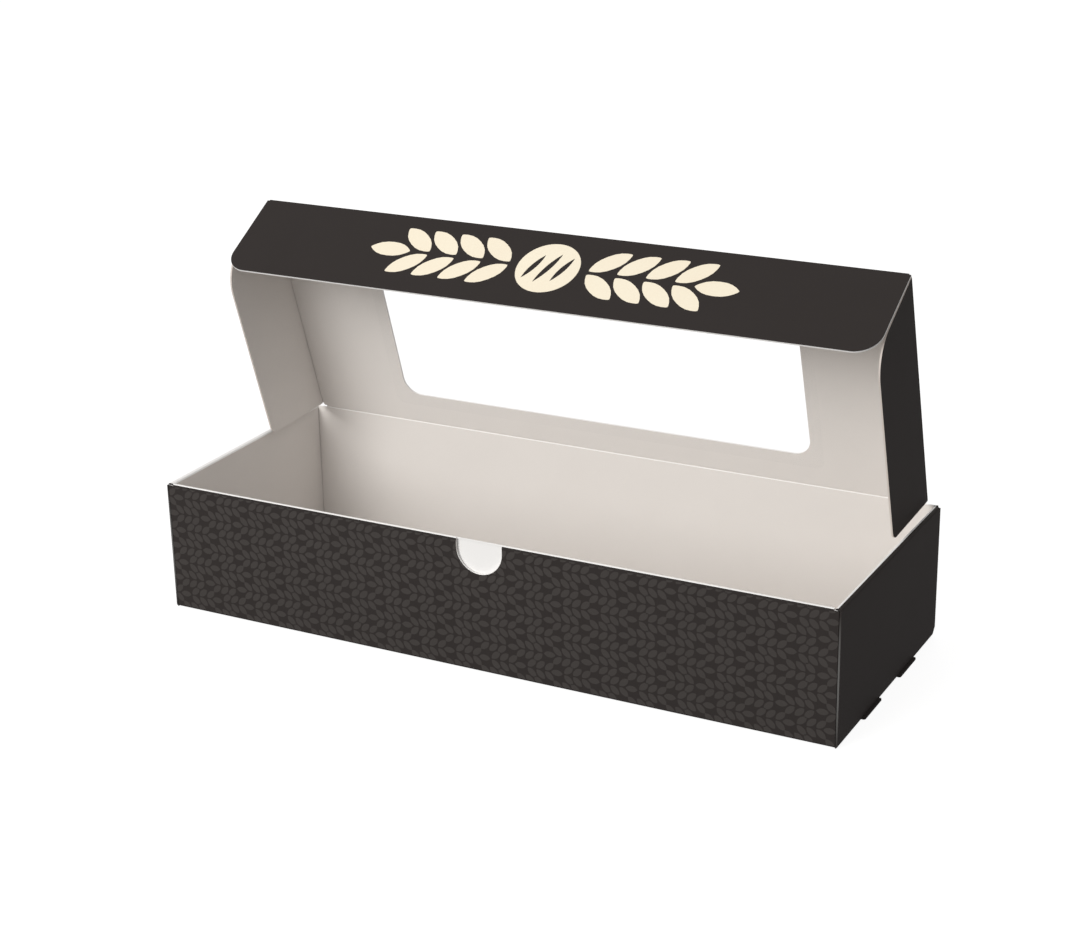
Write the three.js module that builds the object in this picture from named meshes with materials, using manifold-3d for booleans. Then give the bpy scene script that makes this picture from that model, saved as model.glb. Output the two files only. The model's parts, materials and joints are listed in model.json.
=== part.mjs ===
// A long bakery box of printed board: a one-piece tray with rolled walls, and a window lid
// that swings on the back wall's crease, with a tuck flap in front and a side flap at each end.
// Millimetres, +Z up, front at -Y. The origin is under the middle of the tray.
import * as THREE from 'three';
import { mergeVertices } from 'three/addons/utils/BufferGeometryUtils.js';
import Module from 'manifold-3d';

const wasm = await Module();
wasm.setup();

// Driving dimensions of the tray
const trayLength = 380;
const trayDepth = 142;
const wallHeight = 71;
const board = 0.9;
const creaseRadius = 0.3;
const frontWallGap = 0.7;
const endWallGap = 1.7;

// Running clearances between edges and faces of the board
const edgeGap = 0.3;
const flapCreaseGap = 0.25;
const lidRimGap = 0.35;
const sideFlapGap = 3;
const tuckFlapGap = 1;
const sideFlapFrontGap = 0.8;

// Corner tabs of the front and back walls, held inside the rolled end walls
const cornerTabLength = 28;
const cornerTabTopGap = 2;

// Lock tabs of the inner end walls, which come out through slots in the floor's end creases
const lockTabWidth = 24;
const lockTabSpacing = 51;
const lockTabReach = 1.5;
const lockTabCornerRadius = 1.1;

// Cut-outs of the tray
const thumbNotchWidth = 26;
const thumbNotchDepth = 17.5;
const backCornerChamfer = 4;

// Lid and its window
const lidOpenAngle = 72.5;
const lidCornerRelief = 1;
const windowWidth = 244;
const windowHeight = 98;
const windowFromHinge = 19;
const windowCornerRadius = 10;
const filmThickness = 0.3;
const filmMargin = 7;
const filmCornerRadius = 5;

// Tuck flap
const tuckFlapLength = 53;
const tuckFlapAngle = 77.5;
const tuckFlapOverhang = 1.15;
const tuckFlapTaper = 0.4;
const tuckFlapCornerRadius = 13;

// Side flaps
const sideFlapHeight = 50;
const sideFlapAngle = 90;
const sideFlapFrontRadius = 21;
const sideFlapRearSlant = 15;
const sideFlapRearRadius = 6;

const degree = Math.PI / 180;
const bendSteps = 5;
const arcSteps = 12;

// Centre lines of the board's layers, and the creases' axes
const halfLength = trayLength / 2;
const halfDepth = trayDepth / 2;
const floorMiddle = board / 2;
const endOuterX = halfLength - board / 2;
const endInnerX = endOuterX - board - endWallGap;
const endInnerFaceX = endInnerX - board / 2;
const cornerTabX = (endOuterX + endInnerX) / 2;
const frontOuterY = -halfDepth + board / 2;
const frontInnerY = frontOuterY + board + frontWallGap;
const frontInnerFaceY = frontInnerY + board / 2;
const backWallY = halfDepth - board / 2;
const rollTopZ = wallHeight - board / 2;
const lidHingeZ = wallHeight + lidRimGap + board / 2;
const lidCreaseReach = (board + edgeGap) / (2 * Math.sin(Math.PI / 4));
const lidLength = backWallY - (frontInnerFaceY + tuckFlapGap + board);
const sideFlapX = endInnerFaceX - sideFlapGap - board;
const lidHalfWidth = sideFlapX - flapCreaseGap;

// Solids and geometries
function toSolid(geometry) {
  const bare = geometry.clone();
  bare.deleteAttribute('normal');
  bare.deleteAttribute('uv');
  const merged = mergeVertices(bare, 1e-5);
  return new wasm.Manifold(new wasm.Mesh({
    numProp: 3,
    vertProperties: new Float32Array(merged.attributes.position.array),
    triVerts: new Uint32Array(merged.index.array),
  }));
}

function toGeometry(solid) {
  const mesh = solid.getMesh();
  const geometry = new THREE.BufferGeometry();
  geometry.setAttribute('position', new THREE.BufferAttribute(mesh.vertProperties, 3));
  geometry.setIndex(new THREE.BufferAttribute(mesh.triVerts, 1));
  geometry.computeVertexNormals();
  return geometry;
}

// The section of a bent sheet: a path along its middle, with an arc at each bend
function sheetSection(path, insideRadius = creaseRadius) {
  const middleRadius = insideRadius + board / 2;
  const left = [];
  const right = [];
  const points = path.map(([a, b]) => new THREE.Vector2(a, b));
  const leftOf = (d) => new THREE.Vector2(-d.y, d.x);
  const addPair = (point, normal) => {
    left.push(point.clone().addScaledVector(normal, board / 2));
    right.unshift(point.clone().addScaledVector(normal, -board / 2));
  };
  const first = points[1].clone().sub(points[0]).normalize();
  addPair(points[0], leftOf(first));
  for (let i = 1; i < points.length - 1; i += 1) {
    const before = points[i].clone().sub(points[i - 1]).normalize();
    const after = points[i + 1].clone().sub(points[i]).normalize();
    const turn = Math.atan2(before.cross(after), before.dot(after));
    const side = Math.sign(turn);
    const start = points[i].clone().addScaledVector(before, -middleRadius * Math.tan(Math.abs(turn) / 2));
    const centre = start.clone().addScaledVector(leftOf(before), side * middleRadius);
    for (let k = 0; k <= bendSteps; k += 1) {
      const along = before.clone().rotateAround(new THREE.Vector2(), (turn * k) / bendSteps);
      const normal = leftOf(along);
      addPair(centre.clone().addScaledVector(normal, -side * middleRadius), normal);
    }
  }
  const last = points[points.length - 1];
  addPair(last, leftOf(last.clone().sub(points[points.length - 2]).normalize()));
  return new THREE.Shape([...left, ...right]);
}

// A flat outline of straight edges, with the radius given at each corner as its third number
function roundedOutline(corners) {
  const shape = new THREE.Path();
  const at = (i) => new THREE.Vector2(...corners[(i + corners.length) % corners.length]);
  corners.forEach(([x, y, radius], i) => {
    const corner = new THREE.Vector2(x, y);
    const back = at(i - 1).sub(corner).normalize();
    const ahead = at(i + 1).sub(corner).normalize();
    const half = Math.acos(back.dot(ahead)) / 2;
    const reach = radius > 0 ? radius / Math.tan(half) : 0;
    const from = corner.clone().addScaledVector(back, reach);
    const to = corner.clone().addScaledVector(ahead, reach);
    if (i === 0) shape.moveTo(from.x, from.y);
    else shape.lineTo(from.x, from.y);
    if (radius > 0) {
      const centre = corner.clone().add(back.add(ahead).normalize().multiplyScalar(radius / Math.sin(half)));
      const fromAngle = Math.atan2(from.y - centre.y, from.x - centre.x);
      const toAngle = Math.atan2(to.y - centre.y, to.x - centre.x);
      const turn = THREE.MathUtils.euclideanModulo(toAngle - fromAngle, 2 * Math.PI);
      shape.absarc(centre.x, centre.y, radius, fromAngle, toAngle, turn > Math.PI);
    }
  });
  shape.closePath();
  return shape;
}

const sweepBasis = {
  x: [new THREE.Vector3(0, 1, 0), new THREE.Vector3(0, 0, 1), new THREE.Vector3(1, 0, 0)],
  y: [new THREE.Vector3(1, 0, 0), new THREE.Vector3(0, 0, 1), new THREE.Vector3(0, -1, 0)],
  z: [new THREE.Vector3(1, 0, 0), new THREE.Vector3(0, 1, 0), new THREE.Vector3(0, 0, 1)],
};

// A section swept straight along one axis, from one station to the other
function sweep(section, axis, from, to) {
  const geometry = new THREE.ExtrudeGeometry(section, {
    depth: to - from,
    bevelEnabled: false,
    curveSegments: arcSteps,
  });
  geometry.applyMatrix4(new THREE.Matrix4().makeBasis(...sweepBasis[axis]));
  const start = axis === 'y' ? to : from;
  const along = { x: [start, 0, 0], y: [0, start, 0], z: [0, 0, start] }[axis];
  geometry.translate(...along);
  return toSolid(geometry);
}

function rectangle(a0, a1, b0, b1) {
  return new THREE.Shape([
    new THREE.Vector2(a0, b0),
    new THREE.Vector2(a1, b0),
    new THREE.Vector2(a1, b1),
    new THREE.Vector2(a0, b1),
  ]);
}

// The board's rounded edge along the lid's crease
function roundEdge(a, b) {
  const shape = new THREE.Shape();
  shape.absarc(a, b, board / 2, 0, 2 * Math.PI, false);
  return shape;
}

// Tray: the front wall, floor and back wall are one bent strip
function frontFloorBack() {
  const reach = halfLength - board - edgeGap;
  const hingeEdgeZ = lidHingeZ - lidCreaseReach;
  const section = sheetSection([
    [frontOuterY, wallHeight - board],
    [frontOuterY, floorMiddle],
    [backWallY, floorMiddle],
    [backWallY, hingeEdgeZ],
  ]);
  const strip = sweep(section, 'x', -reach, reach);
  return strip.add(sweep(roundEdge(backWallY, hingeEdgeZ), 'x', -reach, reach));
}

// The front wall rolls over at its top and comes down inside as a second layer
function frontRoll() {
  const reach = endInnerFaceX - edgeGap;
  const overlap = 6;
  const section = sheetSection([
    [frontOuterY, rollTopZ - overlap],
    [frontOuterY, rollTopZ],
    [frontInnerY, rollTopZ],
    [frontInnerY, board + edgeGap],
  ]);
  return sweep(section, 'x', -reach, reach);
}

// An end wall's outer layer with its crease and a lap on the floor, and the lower rear corner cut off
function endOuterLayer() {
  const floorLap = 12;
  const section = sheetSection([
    [endOuterX, wallHeight - board],
    [endOuterX, floorMiddle],
    [endOuterX - floorLap, floorMiddle],
  ]);
  const corner = new THREE.Shape([
    new THREE.Vector2(halfDepth + 1, -1),
    new THREE.Vector2(halfDepth + 1, backCornerChamfer),
    new THREE.Vector2(halfDepth, backCornerChamfer),
    new THREE.Vector2(halfDepth - backCornerChamfer, 0),
    new THREE.Vector2(halfDepth - backCornerChamfer, -1),
  ]);
  const cut = sweep(corner, 'x', halfLength - board - edgeGap, halfLength + 1);
  const lapReach = halfDepth - board - creaseRadius;
  const wall = sweep(section, 'y', -halfDepth, halfDepth).subtract(cut);
  const lapEnds = rectangle(halfLength - 2 * floorLap, halfLength - board - edgeGap, -1, board + 1);
  return wall
    .subtract(sweep(lapEnds, 'y', -halfDepth, -lapReach))
    .subtract(sweep(lapEnds, 'y', lapReach, halfDepth));
}

// An end wall rolls over like the front one, down to the floor
function endRoll() {
  const reach = halfDepth - board - edgeGap;
  const overlap = 6;
  const section = sheetSection([
    [endInnerX, board + edgeGap],
    [endInnerX, rollTopZ],
    [endOuterX, rollTopZ],
    [endOuterX, rollTopZ - overlap],
  ]);
  return sweep(section, 'y', -reach, reach);
}

// The tabs of the front and back walls turn the corner into the rolled end wall
function cornerTab(wallY, side) {
  const lap = 6;
  const section = sheetSection([
    [cornerTabX, wallY + side * cornerTabLength],
    [cornerTabX, wallY],
    [cornerTabX - lap, wallY],
  ]);
  return sweep(section, 'z', board + edgeGap, wallHeight - cornerTabTopGap);
}

function lockTab(centreY) {
  const overlap = 7;
  const section = sheetSection([
    [endInnerX, floorMiddle + overlap],
    [endInnerX, floorMiddle],
    [halfLength + lockTabReach, floorMiddle],
  ]);
  const tab = sweep(section, 'y', centreY - lockTabWidth / 2, centreY + lockTabWidth / 2);
  const inner = endInnerX - board;
  const outer = halfLength + lockTabReach;
  const plan = roundedOutline([
    [inner, centreY - lockTabWidth / 2, 0],
    [outer, centreY - lockTabWidth / 2, lockTabCornerRadius],
    [outer, centreY + lockTabWidth / 2, lockTabCornerRadius],
    [inner, centreY + lockTabWidth / 2, 0],
  ]);
  return tab.intersect(flatSheet(plan, -board, floorMiddle + overlap + board));
}

function lockSlot(centreY) {
  const half = lockTabWidth / 2 + edgeGap;
  const section = rectangle(endInnerFaceX - edgeGap, halfLength + 1, -1, board + edgeGap);
  return sweep(section, 'y', centreY - half, centreY + half);
}

function endWall() {
  const lockYs = [-lockTabSpacing / 2, lockTabSpacing / 2];
  let wall = endOuterLayer().add(endRoll());
  wall = wall.add(cornerTab(frontOuterY, 1)).add(cornerTab(backWallY, -1));
  return { wall, slots: lockYs.map(lockSlot), tabs: lockYs.map(lockTab) };
}

// The thumb notch goes through the front wall's outer layer only; its chord is the top crease
function thumbNotch() {
  const radius = thumbNotchWidth / 2;
  const centreZ = wallHeight - (thumbNotchDepth - radius);
  const shape = new THREE.Shape();
  shape.moveTo(-radius, wallHeight + 1);
  shape.lineTo(-radius, centreZ);
  shape.absarc(0, centreZ, radius, Math.PI, 2 * Math.PI, false);
  shape.lineTo(radius, wallHeight + 1);
  shape.closePath();
  return sweep(shape, 'y', -halfDepth - 1, -halfDepth + board + frontWallGap / 2);
}

function trayGeometry() {
  let tray = frontFloorBack().add(frontRoll()).subtract(thumbNotch());
  for (const mirrored of [false, true]) {
    const place = (solid) => (mirrored ? solid.mirror([1, 0, 0]) : solid);
    const { wall, slots, tabs } = endWall();
    tray = tray.add(place(wall));
    for (const slot of slots) tray = tray.subtract(place(slot));
    for (const tab of tabs) tray = tray.add(place(tab));
  }
  return toGeometry(tray);
}

// The lid and its flaps are drawn closed and flat: each runs from its crease, with its inner face down
function flatSheet(outline, bottomZ, topZ, holes = []) {
  const shape = new THREE.Shape(outline.getPoints(arcSteps));
  shape.holes.push(...holes);
  return sweep(shape, 'z', bottomZ, topZ);
}

function windowCorners(margin, radius) {
  const x = windowWidth / 2 + margin;
  const near = -(windowFromHinge - margin);
  const far = -(windowFromHinge + windowHeight + margin);
  return [[-x, far, radius], [x, far, radius], [x, near, radius], [-x, near, radius]];
}

function lidGeometry() {
  const near = -lidCreaseReach;
  const far = -(lidLength - flapCreaseGap);
  const nearHalfWidth = lidHalfWidth - lidCornerRelief / 2;
  const outline = roundedOutline([
    [-lidHalfWidth, far, 0],
    [lidHalfWidth, far, 0],
    [lidHalfWidth, near - lidCornerRelief, 0],
    [nearHalfWidth, near, 0],
    [-nearHalfWidth, near, 0],
    [-lidHalfWidth, near - lidCornerRelief, 0],
  ]);
  const window = roundedOutline(windowCorners(0, windowCornerRadius));
  const panel = flatSheet(outline, -board / 2, board / 2, [window]);
  return toGeometry(panel.add(sweep(roundEdge(near, 0), 'x', -nearHalfWidth, nearHalfWidth)));
}

// The film is glued round the window on the lid's inner face
function filmGeometry() {
  const outline = roundedOutline(windowCorners(filmMargin, filmCornerRadius));
  const top = -board / 2 - edgeGap;
  return toGeometry(flatSheet(outline, top - filmThickness, top));
}

function tuckFlapGeometry() {
  const root = lidHalfWidth + tuckFlapOverhang;
  const tip = root - tuckFlapTaper;
  const outline = roundedOutline([
    [-tip, -tuckFlapLength, tuckFlapCornerRadius],
    [tip, -tuckFlapLength, tuckFlapCornerRadius],
    [root, -flapCreaseGap, 0],
    [-root, -flapCreaseGap, 0],
  ]);
  return toGeometry(flatSheet(outline, 0, board));
}

// A side flap's front edge follows the tuck flap's inner face, and its rear edge slants off the back wall
function sideFlapGeometry(side) {
  const lean = 1 / Math.tan(tuckFlapAngle * degree);
  const reach = sideFlapHeight - flapCreaseGap;
  const frontRoot = -(lidLength - sideFlapFrontGap - flapCreaseGap * lean);
  const rearRoot = -(lidCreaseReach + lidCornerRelief);
  const outline = roundedOutline([
    [flapCreaseGap, frontRoot, 0],
    [sideFlapHeight, frontRoot + reach * lean, sideFlapFrontRadius],
    [sideFlapHeight, rearRoot - reach * Math.tan(sideFlapRearSlant * degree), sideFlapRearRadius],
    [flapCreaseGap, rearRoot, 0],
  ]);
  const flap = flatSheet(outline, 0, board);
  return toGeometry(side > 0 ? flap : flap.mirror([1, 0, 0]));
}

// Materials
const blackPrintedBoard = new THREE.MeshStandardMaterial({ color: 0x393532, roughness: 0.6, metalness: 0 });
const clearFilm = new THREE.MeshStandardMaterial({
  color: 0xf4f6f7,
  roughness: 0.08,
  metalness: 0,
  transparent: true,
  opacity: 0.18,
});

function piece(name, geometry, material) {
  const mesh = new THREE.Mesh(geometry, material.clone());
  mesh.name = name;
  return mesh;
}

// Assembly: each flap hangs in a group on its own crease
const box = new THREE.Group();
box.add(piece('tray', trayGeometry(), blackPrintedBoard));

const lidCrease = new THREE.Group();
lidCrease.position.set(0, backWallY, lidHingeZ);
lidCrease.rotation.x = -lidOpenAngle * degree;
lidCrease.add(piece('lid', lidGeometry(), blackPrintedBoard));
lidCrease.add(piece('window_film', filmGeometry(), clearFilm));
box.add(lidCrease);

const tuckCrease = new THREE.Group();
tuckCrease.position.set(0, -lidLength, -board / 2);
tuckCrease.rotation.x = (180 - tuckFlapAngle) * degree;
tuckCrease.add(piece('tuck_flap', tuckFlapGeometry(), blackPrintedBoard));
lidCrease.add(tuckCrease);

for (const [name, side] of [['side_flap_left', -1], ['side_flap_right', 1]]) {
  const crease = new THREE.Group();
  crease.position.set(side * sideFlapX, 0, -board / 2);
  crease.rotation.y = side * (180 - sideFlapAngle) * degree;
  crease.add(piece(name, sideFlapGeometry(side), blackPrintedBoard));
  lidCrease.add(crease);
}

export default box;
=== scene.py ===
import json
import math
import bmesh
import bpy
from mathutils import Matrix, Vector


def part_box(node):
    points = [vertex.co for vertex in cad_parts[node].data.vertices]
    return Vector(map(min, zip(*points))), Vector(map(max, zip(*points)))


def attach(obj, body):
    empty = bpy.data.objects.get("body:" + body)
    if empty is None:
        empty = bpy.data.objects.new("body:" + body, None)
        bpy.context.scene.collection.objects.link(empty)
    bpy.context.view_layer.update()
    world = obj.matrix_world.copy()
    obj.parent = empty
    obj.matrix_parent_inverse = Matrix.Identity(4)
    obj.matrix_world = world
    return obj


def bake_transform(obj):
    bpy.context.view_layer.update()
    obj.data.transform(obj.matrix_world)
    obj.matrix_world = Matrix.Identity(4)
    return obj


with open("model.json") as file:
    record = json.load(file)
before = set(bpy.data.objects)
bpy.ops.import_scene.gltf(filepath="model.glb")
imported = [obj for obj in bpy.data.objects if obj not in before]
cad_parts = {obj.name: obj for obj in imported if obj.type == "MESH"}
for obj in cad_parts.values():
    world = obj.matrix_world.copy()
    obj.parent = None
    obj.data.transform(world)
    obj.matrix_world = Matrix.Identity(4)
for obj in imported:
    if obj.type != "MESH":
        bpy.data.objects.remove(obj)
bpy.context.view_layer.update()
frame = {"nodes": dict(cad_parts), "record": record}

# Camera
# A 73 mm lens on a 36 mm sensor, a little right of the box's front and above it, tilted by one degree.
# It looks at the open box from the place that the corners of the tray in the photograph give.
camera_place = Vector((0.50704, -0.94851, 0.49094))
camera_azimuth = math.radians(28.125)
camera_elevation = math.radians(20.718)
camera_roll = math.radians(-1.092)
camera_lens = 73.3
camera_sensor = 36
nearest_seen = 0.02
farthest_seen = 50
forward = Vector((
    -math.sin(camera_azimuth) * math.cos(camera_elevation),
    math.cos(camera_azimuth) * math.cos(camera_elevation),
    -math.sin(camera_elevation),
))
level_right = Vector((math.cos(camera_azimuth), math.sin(camera_azimuth), 0))
level_up = level_right.cross(forward)
right = level_right * math.cos(camera_roll) + level_up * math.sin(camera_roll)
up = right.cross(forward)
camera_data = bpy.data.cameras.new("camera")
camera_data.lens = camera_lens
camera_data.sensor_fit = "HORIZONTAL"
camera_data.sensor_width = camera_sensor
camera_data.clip_start = nearest_seen
camera_data.clip_end = farthest_seen
camera = bpy.data.objects.new("camera", camera_data)
turned = Matrix((right, up, -forward)).transposed().to_4x4()
camera.matrix_world = Matrix.Translation(camera_place) @ turned
bpy.context.collection.objects.link(camera)
bpy.context.scene.camera = camera
bpy.context.scene.view_settings.view_transform = "Standard"

# Studio floor and light
# A plain pale floor with a faint shadow of the box, in an even white surround that fills the shade.
# One large soft lamp stands at the front left and above, and a weaker one behind the box.
floor_height = -0.0004
floor_radius = 6.0
floor_sides = 64
floor_grey = (0.22, 0.22, 0.22, 1)
floor_glow = 0.9
fill_strength = 0.46
fill_colour = (1, 0.985, 0.97, 1)
seen_white = (1, 1, 1, 1)
key_power = 45
key_size = 1.6
key_place = Vector((-0.85, -2.05, 1.22))
rear_power = 22
rear_size = 1.8
rear_place = Vector((-0.35, 2.3, 1.3))
lamp_colour = (1, 0.985, 0.96)
lamp_aim = Vector((0, 0, 0.08))


def add_node(material, kind, **settings):
    made = material.node_tree.nodes.new(kind)
    for name, value in settings.items():
        setattr(made, name, value)
    return made


def join(material, output, target):
    material.node_tree.links.new(output, target)


def clear_nodes(owner):
    owner.use_nodes = True
    owner.node_tree.nodes.clear()


def start_material(name):
    material = bpy.data.materials.new(name)
    clear_nodes(material)
    return material


def show_surface(material, shader):
    end = add_node(material, "ShaderNodeOutputMaterial")
    join(material, shader.outputs[0], end.inputs["Surface"])


def show_to_camera(material):
    rays = add_node(material, "ShaderNodeLightPath")
    seen = rays.outputs["Is Camera Ray"]
    for name in ("Is Glossy Ray", "Is Transmission Ray"):
        either = add_node(material, "ShaderNodeMath", operation="MAXIMUM")
        join(material, seen, either.inputs[0])
        join(material, rays.outputs[name], either.inputs[1])
        seen = either.outputs[0]
    return seen


def make_piece(name, form, *materials):
    mesh = bpy.data.meshes.new(name)
    form.to_mesh(mesh)
    form.free()
    for material in materials:
        mesh.materials.append(material)
    piece = bpy.data.objects.new(name, mesh)
    bpy.context.collection.objects.link(piece)
    return piece


floor_paper = start_material("floor_paper")
floor_matt = add_node(floor_paper, "ShaderNodeBsdfDiffuse")
floor_matt.inputs["Color"].default_value = floor_grey
floor_white = add_node(floor_paper, "ShaderNodeEmission")
floor_level = add_node(floor_paper, "ShaderNodeMath", operation="MULTIPLY")
floor_level.inputs[1].default_value = floor_glow
join(floor_paper, show_to_camera(floor_paper), floor_level.inputs[0])
join(floor_paper, floor_level.outputs[0], floor_white.inputs["Strength"])
floor_both = add_node(floor_paper, "ShaderNodeAddShader")
join(floor_paper, floor_matt.outputs[0], floor_both.inputs[0])
join(floor_paper, floor_white.outputs[0], floor_both.inputs[1])
show_surface(floor_paper, floor_both)

floor_form = bmesh.new()
bmesh.ops.create_circle(floor_form, cap_ends=True, segments=floor_sides, radius=floor_radius)
bmesh.ops.translate(floor_form, verts=floor_form.verts, vec=(0, 0, floor_height))
floor = make_piece("floor", floor_form, floor_paper)

surround = bpy.data.worlds.new("surround")
clear_nodes(surround)
surround_fill = add_node(surround, "ShaderNodeBackground")
surround_fill.inputs["Color"].default_value = fill_colour
surround_fill.inputs["Strength"].default_value = fill_strength
surround_white = add_node(surround, "ShaderNodeBackground")
surround_white.inputs["Color"].default_value = seen_white
surround_choice = add_node(surround, "ShaderNodeMixShader")
join(surround, show_to_camera(surround), surround_choice.inputs[0])
join(surround, surround_fill.outputs[0], surround_choice.inputs[1])
join(surround, surround_white.outputs[0], surround_choice.inputs[2])
surround_end = add_node(surround, "ShaderNodeOutputWorld")
join(surround, surround_choice.outputs[0], surround_end.inputs["Surface"])
bpy.context.scene.world = surround

for lamp_name, lamp_place, lamp_power, lamp_size in (
    ("key_lamp", key_place, key_power, key_size),
    ("rear_lamp", rear_place, rear_power, rear_size),
):
    lamp_data = bpy.data.lights.new(lamp_name, "AREA")
    lamp_data.shape = "DISK"
    lamp_data.size = lamp_size
    lamp_data.energy = lamp_power
    lamp_data.color = lamp_colour
    lamp = bpy.data.objects.new(lamp_name, lamp_data)
    lamp.location = lamp_place
    lamp.rotation_euler = (lamp_aim - lamp_place).to_track_quat("-Z", "Y").to_euler()
    bpy.context.collection.objects.link(lamp)

# Tray
# One sheet of folding board 0.9 mm thick: floor, rolled double front and end walls, single back wall and
# lock tabs. The outside is printed matt black, a little way over the rims. The inside and the edges are bare.
tray = frame["nodes"]["tray"]
tray_low, tray_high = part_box("tray")
board_thickness = 0.0009
rim_height = 0.071
end_face = 0.19
right_print_over = 0.0020
left_print_over = 0.0005
front_print_over = 0.0004
rim_bend_depth = 0.0015
print_margin = 0.0003
face_margin = 0.0001
floor_print_top = 0.00115
corner_post_width = 0.0033
corner_post_depth = 0.0027
slot_reach = 0.0028
slot_top = 0.006
front_inner_layer = 0.002
floor_corner_top = 0.004
# height at which the painted highlight on the tray's vertical corners is brightest
highlight_peak_height = 0.034
square_on = 0.5
hardly_up = 0.1
partly_up = 0.3
bare_inside = (0.805, 0.775, 0.749, 1)
bare_shade = (0.745, 0.714, 0.687, 1)
cut_edge = (0.965, 0.960, 0.955, 1)
black_print = (0.0355, 0.0308, 0.0296, 1)
black_rubbed = (0.0430, 0.0378, 0.0364, 1)
# painted highlight: a lighter grey painted over the black at the tray's vertical corners
painted_highlight_grey = (0.15, 0.147, 0.144, 1)
board_gloss = 0.012
bare_roughness = 0.86
print_smoothing = -0.32
grain_roughness = 0.1
print_flattening = -0.6


def calculate(material, operation, first, second=None):
    made = add_node(material, "ShaderNodeMath", operation=operation)
    for socket, value in zip(made.inputs, (first, second)):
        if value is None:
            continue
        if isinstance(value, (int, float)):
            socket.default_value = value
        else:
            join(material, value, socket)
    return made.outputs[0]


def over(material, value, limit):
    return calculate(material, "GREATER_THAN", value, limit)


def under(material, value, limit):
    return calculate(material, "LESS_THAN", value, limit)


def both(material, *tests):
    result = tests[0]
    for test in tests[1:]:
        result = calculate(material, "MULTIPLY", result, test)
    return result


def any_of(material, *tests):
    result = tests[0]
    for test in tests[1:]:
        result = calculate(material, "MAXIMUM", result, test)
    return result


def blend_colours(material, factor, first, second):
    mixed = add_node(material, "ShaderNodeMix", data_type="RGBA")
    join(material, factor, mixed.inputs[0])
    for socket, value in ((mixed.inputs[6], first), (mixed.inputs[7], second)):
        if isinstance(value, tuple):
            socket.default_value = value
        else:
            join(material, value, socket)
    return mixed.outputs[2]


def add_noise(material, where, scale, detail, **more):
    noise = add_node(material, "ShaderNodeTexNoise")
    noise.inputs["Scale"].default_value = scale
    noise.inputs["Detail"].default_value = detail
    for name, value in more.items():
        noise.inputs[name].default_value = value
    join(material, where.outputs["Object"], noise.inputs["Vector"])
    return noise.outputs["Fac"]


def add_relief(material, height, strength, distance):
    relief = add_node(material, "ShaderNodeBump")
    relief.inputs["Strength"].default_value = strength
    relief.inputs["Distance"].default_value = distance
    join(material, height, relief.inputs["Height"])
    return relief.outputs[0]


def matt_surface(material, colour, rough, normal):
    surface = add_node(material, "ShaderNodeBsdfPrincipled")
    surface.inputs["Specular IOR Level"].default_value = board_gloss
    join(material, colour, surface.inputs["Base Color"])
    join(material, rough, surface.inputs["Roughness"])
    join(material, normal, surface.inputs["Normal"])
    show_surface(material, surface)


def start_board(name):
    material = start_material(name)
    where = add_node(material, "ShaderNodeTexCoord")
    place = add_node(material, "ShaderNodeSeparateXYZ")
    facing = add_node(material, "ShaderNodeSeparateXYZ")
    join(material, where.outputs["Object"], place.inputs[0])
    join(material, where.outputs["Normal"], facing.inputs[0])
    return material, where, place.outputs, facing.outputs


def finish_board(material, where, printed, edge, edge_colour=cut_edge, painted_highlight=None):
    fibre = add_noise(material, where, scale=1400, detail=3, Roughness=0.62)
    cloud = add_noise(material, where, scale=24, detail=4, Distortion=0.6)
    mottle = calculate(material, "MULTIPLY", cloud, 0.5)
    grain = calculate(material, "MULTIPLY", fibre, 0.5)
    uneven = calculate(material, "ADD", mottle, grain)
    bare = blend_colours(material, uneven, bare_inside, bare_shade)
    bare = blend_colours(material, edge, bare, edge_colour)
    black = blend_colours(material, uneven, black_print, black_rubbed)
    # where a mask is given, a painted highlight lightens the black there
    if painted_highlight is not None:
        black = blend_colours(material, painted_highlight, black, painted_highlight_grey)
    colour = blend_colours(material, printed, bare, black)
    rough = calculate(material, "MULTIPLY", printed, print_smoothing)
    rough = calculate(material, "ADD", rough, bare_roughness)
    rough_grain = calculate(material, "MULTIPLY", fibre, grain_roughness)
    rough = calculate(material, "ADD", rough, rough_grain)
    height = calculate(material, "MULTIPLY", printed, print_flattening)
    height = calculate(material, "ADD", height, 1)
    height = calculate(material, "MULTIPLY", height, fibre)
    normal = add_relief(material, height, strength=0.25, distance=0.00008)
    matt_surface(material, colour, rough, normal)


tray_board, where, place, facing = start_board("tray_board_print")
across = calculate(tray_board, "ABSOLUTE", place["X"])
depth_out = calculate(tray_board, "ABSOLUTE", place["Y"])
turned_to_end = calculate(tray_board, "ABSOLUTE", facing["X"])
turned_to_length = calculate(tray_board, "ABSOLUTE", facing["Y"])
faces_front = under(tray_board, facing["Y"], -square_on)
front_outside = both(
    tray_board,
    under(tray_board, place["Y"], tray_low.y + print_margin),
    faces_front,
)
back_outside = both(
    tray_board,
    over(tray_board, place["Y"], tray_high.y - print_margin),
    over(tray_board, facing["Y"], square_on),
)
end_outside = both(
    tray_board,
    over(tray_board, across, end_face - print_margin),
    over(tray_board, turned_to_end, square_on),
)
underside = both(
    tray_board,
    under(tray_board, place["Z"], floor_print_top),
    under(tray_board, facing["Z"], hardly_up),
)
lock_tabs = over(tray_board, across, end_face + face_margin)
corner_post = both(
    tray_board,
    over(tray_board, across, end_face - corner_post_width),
    over(tray_board, depth_out, tray_high.y - corner_post_depth),
    under(tray_board, facing["Z"], square_on),
)
slots = both(
    tray_board,
    over(tray_board, across, end_face - slot_reach),
    under(tray_board, place["Z"], slot_top),
)
rim_bend = over(tray_board, place["Z"], rim_height - rim_bend_depth)
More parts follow.
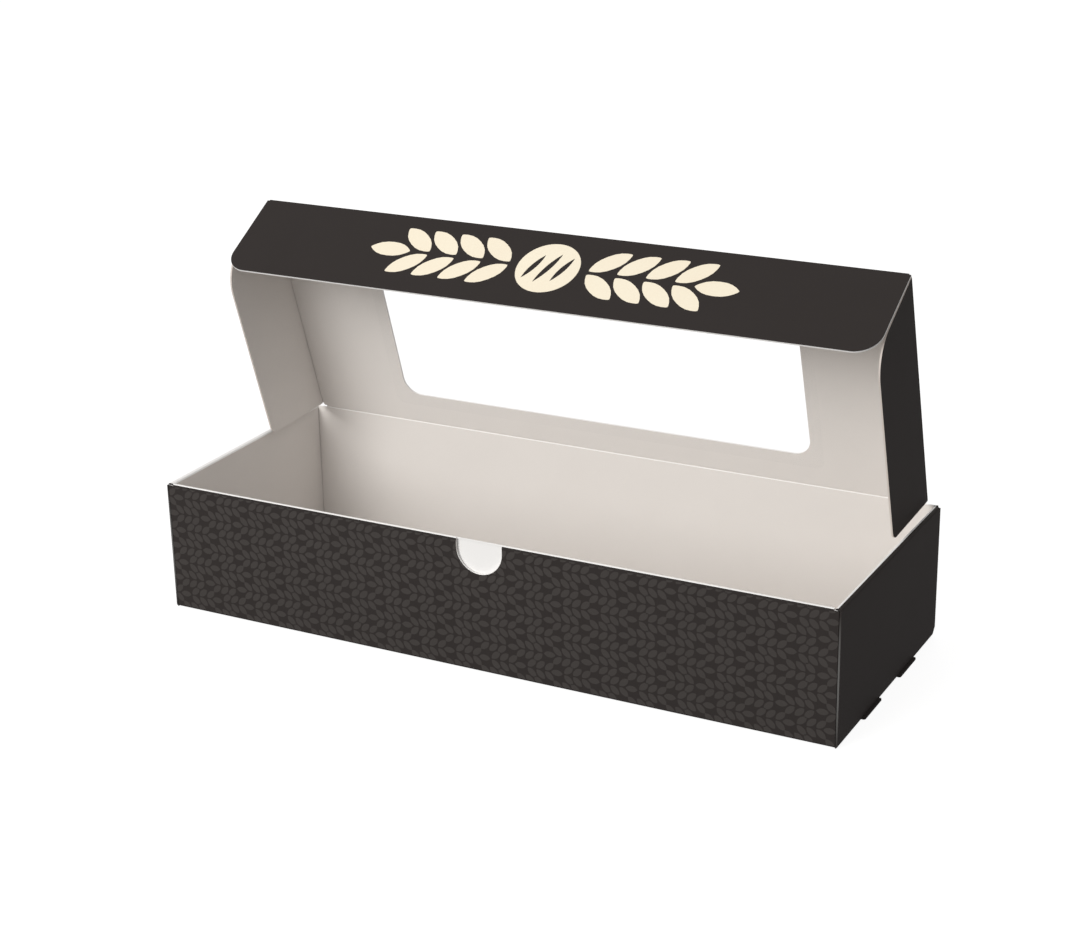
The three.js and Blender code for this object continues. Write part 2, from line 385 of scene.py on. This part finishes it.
end_bend = both(
    tray_board,
    rim_bend,
    any_of(
        tray_board,
        over(tray_board, place["X"], end_face - right_print_over),
        under(tray_board, place["X"], left_print_over - end_face),
    ),
)
front_bend = both(
    tray_board,
    rim_bend,
    under(tray_board, place["Y"], tray_low.y + front_print_over),
)
tray_printed = any_of(
    tray_board,
    end_bend,
    front_bend,
    front_outside,
    back_outside,
    end_outside,
    underside,
    lock_tabs,
    corner_post,
    slots,
)
# A painted highlight on the faces at the tray's four vertical corners that look to the front or back: lighter
# grey over the black, strongest halfway up the wall and fading to nothing at the floor and at the rim.
from_middle = calculate(tray_board, "SUBTRACT", place["Z"], highlight_peak_height)
from_middle = calculate(tray_board, "DIVIDE", from_middle, highlight_peak_height)
from_middle = calculate(tray_board, "MULTIPLY", from_middle, from_middle)
highlight_fade = calculate(tray_board, "SUBTRACT", 1, from_middle)
highlight_fade = calculate(tray_board, "MAXIMUM", highlight_fade, 0)
corner_painted_highlight = both(
    tray_board,
    over(tray_board, across, end_face - board_thickness - face_margin),
    over(tray_board, turned_to_length, square_on),
    highlight_fade,
)
tray_edge = any_of(
    tray_board,
    both(tray_board, under(tray_board, place["Y"], tray_low.y + front_inner_layer), faces_front),
    over(tray_board, facing["Z"], partly_up),
)
tray_edge = both(tray_board, tray_edge, over(tray_board, place["Z"], floor_corner_top))
finish_board(tray_board, where, tray_printed, tray_edge, painted_highlight=corner_painted_highlight)
tray.material_slots[0].material = tray_board

# Print on the front wall
# Rows of small cereal ears in a slightly lighter black on the front wall's outer face, in brick order,
# each row turned the other way. The ink is a film 0.03 mm proud that stops at the thumb notch.
row_pitch = 0.0093
row_drop = 0.1
ear_pitch = 0.0205
ear_middle = 1.9
front_pairs = 3
kernel_length = 0.0063
kernel_width = 0.0033
kernel_slant = math.radians(42)
kernel_spacing = 0.0049
kernel_sides = 20
kernel_pointing = 0.55
tip_tuck = 0.3
root_apart = 0.14
ink_proud = 0.00003
notch_half_width = 0.0131
notch_depth = 0.0176
notch_steps = 16
front_low = 0.0012
front_high = rim_height - 0.0012
front_half = 0.1888
front_dark = (0.0600, 0.0540, 0.0516, 1)
front_light = (0.0680, 0.0614, 0.0588, 1)
along_box = Vector((1, 0, 0))
same_point = 1e-7
cutting_room = 0.012


def kernel(form, length, width, root, heading):
    made = bmesh.ops.create_circle(form, cap_ends=True, segments=kernel_sides, radius=0.5)["verts"]
    for vert in made:
        vert.co.y *= 1 - abs(vert.co.x * 2) ** 4 * kernel_pointing
        vert.co.x += 0.5
    turn = Matrix.Rotation(heading, 4, "Z")
    size = Matrix.Diagonal((length, width, 1, 1))
    bmesh.ops.transform(form, verts=made, matrix=Matrix.Translation(root) @ turn @ size)


def ear(form, base, pairs, length, width, slant, spacing, heading):
    turned = 0 if heading > 0 else math.pi
    for step in range(pairs):
        along = base[0] + step * spacing * heading
        for side in (1, -1):
            root = Vector((along, base[1] + side * width * root_apart, 0))
            kernel(form, length, width, root, turned + side * heading * slant)
    tip = Vector((base[0] + (pairs - tip_tuck) * spacing * heading, base[1], 0))
    kernel(form, length, width, tip, turned)


def trim(form, point, outward):
    everything = form.verts[:] + form.edges[:] + form.faces[:]
    bmesh.ops.bisect_plane(
        form, geom=everything, dist=same_point, plane_co=point, plane_no=outward, clear_outer=True
    )


def cut_out(form, outline):
    middle = sum(outline, Vector((0, 0, 0))) / len(outline)
    reach = max((point - middle).length for point in outline) + cutting_room
    sides = list(zip(outline, outline[1:] + outline[:1]))
    for first, second in sides:
        near = [face for face in form.faces if (face.calc_center_median() - middle).length < reach]
        touched = dict.fromkeys(near)
        touched.update(dict.fromkeys(edge for face in near for edge in face.edges))
        touched.update(dict.fromkeys(vert for face in near for vert in face.verts))
        run = second - first
        bmesh.ops.bisect_plane(
            form, geom=list(touched), dist=same_point, plane_co=first, plane_no=(run.y, -run.x, 0)
        )
    inside = []
    for face in form.faces:
        point = face.calc_center_median()
        if all((second - first).cross(point - first).z > 0 for first, second in sides):
            inside.append(face)
    bmesh.ops.delete(form, geom=inside, context="FACES")


def thicken(form, depth):
    raised = bmesh.ops.extrude_face_region(form, geom=form.faces[:])["geom"]
    lifted = [item for item in raised if isinstance(item, bmesh.types.BMVert)]
    bmesh.ops.translate(form, verts=lifted, vec=(0, 0, depth))
    bmesh.ops.recalc_face_normals(form, faces=form.faces)


def place_flat(name, form, origin, up_way, material, body):
    out_way = along_box.cross(up_way)
    turned = Matrix((along_box, up_way, out_way)).transposed().to_4x4()
    bmesh.ops.transform(form, verts=form.verts, matrix=Matrix.Translation(origin) @ turned)
    piece = make_piece(name, form, material)
    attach(piece, body)
    return piece


def thin_coat(name, dark, light, roughness):
    material = start_material(name)
    where = add_node(material, "ShaderNodeTexCoord")
    fibre = add_noise(material, where, scale=1200, detail=3)
    cloud = add_noise(material, where, scale=30, detail=3)
    uneven = calculate(material, "MULTIPLY", cloud, fibre)
    uneven = calculate(material, "MULTIPLY", uneven, 2)
    colour = blend_colours(material, uneven, dark, light)
    rough = calculate(material, "MULTIPLY", fibre, 0.12)
    rough = calculate(material, "ADD", rough, roughness)
    normal = add_relief(material, fibre, strength=0.15, distance=0.00005)
    matt_surface(material, colour, rough, normal)
    return material


front_form = bmesh.new()
rows = int(rim_height / row_pitch) + 2
ears = int(2 * end_face / ear_pitch) + 3
for row in range(rows):
    height = (row - row_drop) * row_pitch
    heading = 1 if row % 2 else -1
    shift = (row % 2) * ear_pitch / 2
    for column in range(ears):
        at = -end_face - ear_pitch / 2 + column * ear_pitch + shift
        ear(
            front_form, (at - heading * ear_middle * kernel_spacing, height), front_pairs,
            kernel_length, kernel_width, kernel_slant, kernel_spacing, heading,
        )
trim(front_form, (front_half, 0, 0), (1, 0, 0))
trim(front_form, (-front_half, 0, 0), (-1, 0, 0))
trim(front_form, (0, front_high, 0), (0, 1, 0))
trim(front_form, (0, front_low, 0), (0, -1, 0))
notch_centre = rim_height - notch_depth + notch_half_width
notch_outline = [Vector((-notch_half_width, rim_height, 0))]
for step in range(notch_steps + 1):
    angle = math.pi + math.pi * step / notch_steps
    across_notch = notch_half_width * math.cos(angle)
    notch_outline.append(Vector((across_notch, notch_centre + notch_half_width * math.sin(angle), 0)))
notch_outline.append(Vector((notch_half_width, rim_height, 0)))
cut_out(front_form, notch_outline)
thicken(front_form, 2 * ink_proud)
front_ink = thin_coat("front_ink", front_dark, front_light, 0.46)
front_origin = Vector((0, tray_low.y + ink_proud, 0))
front_print = place_flat("front_print", front_form, front_origin, Vector((0, 0, 1)), front_ink, "tray")

# Lid
# The panel that goes on from the back wall past its crease, with a large window cut in it.
# It is black outside and bare inside, and its cut edges and the window's are white.
lid = frame["nodes"]["lid"]
lid_open = math.radians(72.5)
lid_outward = (0, math.sin(lid_open), math.cos(lid_open))
print_reach = 0.35


def panel_board(name, outward, edge_colour=cut_edge):
    material, where, place, facing = start_board(name)
    lean = add_node(material, "ShaderNodeVectorMath", operation="DOT_PRODUCT")
    join(material, where.outputs["Normal"], lean.inputs[0])
    lean.inputs[1].default_value = outward
    printed = over(material, lean.outputs["Value"], print_reach)
    inner = under(material, lean.outputs["Value"], -square_on)
    edge = calculate(material, "SUBTRACT", 1, inner)
    finish_board(material, where, printed, edge, edge_colour)
    return material


lid.material_slots[0].material = panel_board("lid_board_print", lid_outward)

# Folds
# The scored folds that join the lid to the back wall and the three flaps to the lid.
# Each is the board's own skin round the crease, black outside and bare inside.
skin_proud = 0.00002
fold_reach = 0.0009
fold_depth = 0.00032
bend_steps = 10
outer_part = 0.8
fully_outward = 0.8
hinge_half_length = 0.1805
hinge_half_thick = 0.0002
hinge_reach = 0.0013
tuck_fold_half = 0.1822
side_fold_from = 0.0021
side_fold_length = 0.1340
fold_black = thin_coat("fold_black", black_print, black_rubbed, 0.54)
fold_bare = thin_coat("fold_bare", bare_inside, bare_shade, 0.86)
hinges = {joint["name"]: joint for joint in frame["record"]["behaviour"]["joints"]}


def fold_strip(name, ring, is_black, along, length):
    form = bmesh.new()
    face = form.faces.new([form.verts.new(point) for point in ring])
    grown = bmesh.ops.extrude_face_region(form, geom=[face])["geom"]
    far = [item for item in grown if isinstance(item, bmesh.types.BMVert)]
    bmesh.ops.translate(form, verts=far, vec=along * length)
    bmesh.ops.recalc_face_normals(form, faces=form.faces)
    for face in form.faces:
        face.material_index = 0 if is_black(face) else 1
    piece = make_piece(name, form, fold_black, fold_bare)
    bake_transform(piece)


def flap_fold(name, first_end, along, length, into_lid, lid_out, into_flap, flap_out):
    outer = board_thickness + skin_proud
    inner = fold_depth
    whole = lid_out.angle(flap_out)
    axis = lid_out.cross(flap_out).normalized()
    arc = []
    for step in range(bend_steps + 1):
        arc.append(Matrix.Rotation(whole * step / bend_steps, 3, axis) @ lid_out)
    ring = [first_end + into_lid * fold_reach + lid_out * outer]
    ring += [first_end + ray * outer for ray in arc]
    ring += [first_end + into_flap * fold_reach + flap_out * outer]
    ring += [first_end + into_flap * fold_reach + flap_out * inner]
    ring += [first_end + ray * inner for ray in reversed(arc)]
    ring += [first_end + into_lid * fold_reach + lid_out * inner]

    def is_black(face):
        centre = face.calc_center_median() - first_end
        off_axis = centre - along * centre.dot(along)
        ways_out = (lid_out, flap_out, off_axis.normalized())
        turned_out = max(face.normal.dot(way) for way in ways_out)
        return off_axis.length > outer_part * board_thickness and turned_out > fully_outward

    fold_strip(
        name, ring, is_black, along, length,
    )


lid_hinge = Vector(hinges["lid_hinge"]["pos_m"])
down_wall = Vector((0, 0, -1))
up_lid = Vector((0, -math.cos(lid_open), math.sin(lid_open)))
lid_out = Vector(lid_outward)
hinge_start = Vector((-hinge_half_length, lid_hinge.y, lid_hinge.z))
hinge_way = (lid_out + Vector((0, 1, 0))).normalized()
hinge_ring = [
    hinge_start + down_wall * hinge_reach + Vector((0, hinge_half_thick, 0)),
    hinge_start + hinge_way * hinge_half_thick,
    hinge_start + up_lid * hinge_reach + lid_out * hinge_half_thick,
    hinge_start + up_lid * hinge_reach - lid_out * hinge_half_thick,
    hinge_start - hinge_way * hinge_half_thick,
    hinge_start + down_wall * hinge_reach - Vector((0, hinge_half_thick, 0)),
]
fold_strip(
    "lid_fold", hinge_ring, lambda face: face.normal.dot(hinge_way) > square_on, along_box,
    2 * hinge_half_length,
)

tuck_crease = Vector(hinges["tuck_flap_hinge"]["pos_m"])
tuck_out_forward = 0.5
tuck_out_up = math.sqrt(0.75)
tuck_outward = Vector((0, -tuck_out_forward, tuck_out_up))
tuck_down = Vector((0, -tuck_out_up, -tuck_out_forward))
flap_fold(
    "tuck_fold", tuck_crease - Vector((tuck_fold_half, 0, 0)), along_box, 2 * tuck_fold_half,
    -up_lid, lid_out, tuck_down, tuck_outward,
)
for side, flap in ((-1, "side_flap_left"), (1, "side_flap_right")):
    on_crease = Vector(hinges[flap + "_hinge"]["pos_m"])
    flap_fold(
        flap + "_fold", on_crease + up_lid * side_fold_from, up_lid, side_fold_length,
        Vector((-side, 0, 0)), lid_out, -lid_out, Vector((side, 0, 0)),
    )

# Window film
# Thin clear film glued round the window on the lid's inner face. It is glossy and nearly colourless,
# with a slight slow wave where it isn't quite taut.
window_film = frame["nodes"]["window_film"]
clear_film = start_material("clear_window_film")
film_where = add_node(clear_film, "ShaderNodeTexCoord")
film_wave = add_noise(clear_film, film_where, scale=9, detail=1)
film_relief = add_relief(clear_film, film_wave, strength=0.1, distance=0.002)
film_surface = add_node(clear_film, "ShaderNodeBsdfPrincipled")
film_surface.inputs["Base Color"].default_value = (0.95, 0.96, 0.97, 1)
film_surface.inputs["Roughness"].default_value = 0.06
film_surface.inputs["Alpha"].default_value = 0.012
join(clear_film, film_relief, film_surface.inputs["Normal"])
show_surface(clear_film, film_surface)
window_film.material_slots[0].material = clear_film

# Tuck flap
# The lid's front flap, folded down in front of the side flaps, with large rounded free corners.
# It is the most visible printed face and hangs from the crease along the lid's front edge.
tuck_flap = frame["nodes"]["tuck_flap"]
tuck_flap.material_slots[0].material = panel_board("tuck_board_print", tuck_outward)

# Print on the tuck flap
# A frieze in cream ink: a scored round loaf between two cereal ears that point outwards.
# It covers the middle of the flap's length, in ink 0.03 mm proud of the black.
frieze_middle_down = 0.0245
loaf_radius = 0.0172
loaf_sides = 64
score_length = 0.0230
middle_score = 0.5
outer_score = 0.41
score_width = 0.0032
score_spacing = 0.0082
score_slant = math.radians(68)
score_steps = 10
big_pairs = 4
big_kernel_length = 0.0235
big_kernel_width = 0.0100
big_kernel_slant = math.radians(38)
big_spacing = 0.0158
ear_start = 0.0225
cream_dark = (0.95, 0.85, 0.68, 1)
cream_light = (0.99, 0.92, 0.75, 1)
frieze_form = bmesh.new()
for side in (1, -1):
    ear(
        frieze_form, (side * ear_start, 0), big_pairs, big_kernel_length, big_kernel_width,
        big_kernel_slant, big_spacing, side,
    )
bmesh.ops.create_circle(frieze_form, cap_ends=True, segments=loaf_sides, radius=loaf_radius)
score_turn = Matrix.Rotation(score_slant, 4, "Z")
for step in (-1, 0, 1):
    score = []
    reach = score_length * (middle_score if step == 0 else outer_score)
    for side in (1, -1):
        for part in range(score_steps):
            along = side * (1 - 2 * part / score_steps)
            point = Vector((along * reach, side * score_width / 2 * (1 - along * along), 0))
            score.append(score_turn @ point + Vector((step * score_spacing, 0, 0)))
    cut_out(frieze_form, score)
thicken(frieze_form, 2 * ink_proud)
tuck_face = max(Vector(vert.co).dot(tuck_outward) for vert in tuck_flap.data.vertices)
frieze_origin = tuck_crease + tuck_down * frieze_middle_down
frieze_origin += tuck_outward * (tuck_face - ink_proud - frieze_origin.dot(tuck_outward))
cream_ink = thin_coat("cream_ink", cream_dark, cream_light, 0.5)
frieze = place_flat("flap_print", frieze_form, frieze_origin, -tuck_down, cream_ink, "tuck_flap")

# Side flaps
# The lid's two end flaps, rounded in front and slanted at the rear, square to the lid in this pose.
# They are black outside and bare inside, like the lid, and their cut edges are painted a darker, browner
# white than the other cut edges, as painted shade.
side_left = frame["nodes"]["side_flap_left"]
side_right = frame["nodes"]["side_flap_right"]
# painted shade: the side flaps' cut edges are coloured darker than the same board's cut edges elsewhere
side_edge_painted_shade = (0.72, 0.655, 0.61, 1)
side_left.material_slots[0].material = panel_board("side_board_left", (-1, 0, 0), side_edge_painted_shade)
side_right.material_slots[0].material = panel_board("side_board_right", (1, 0, 0), side_edge_painted_shade)
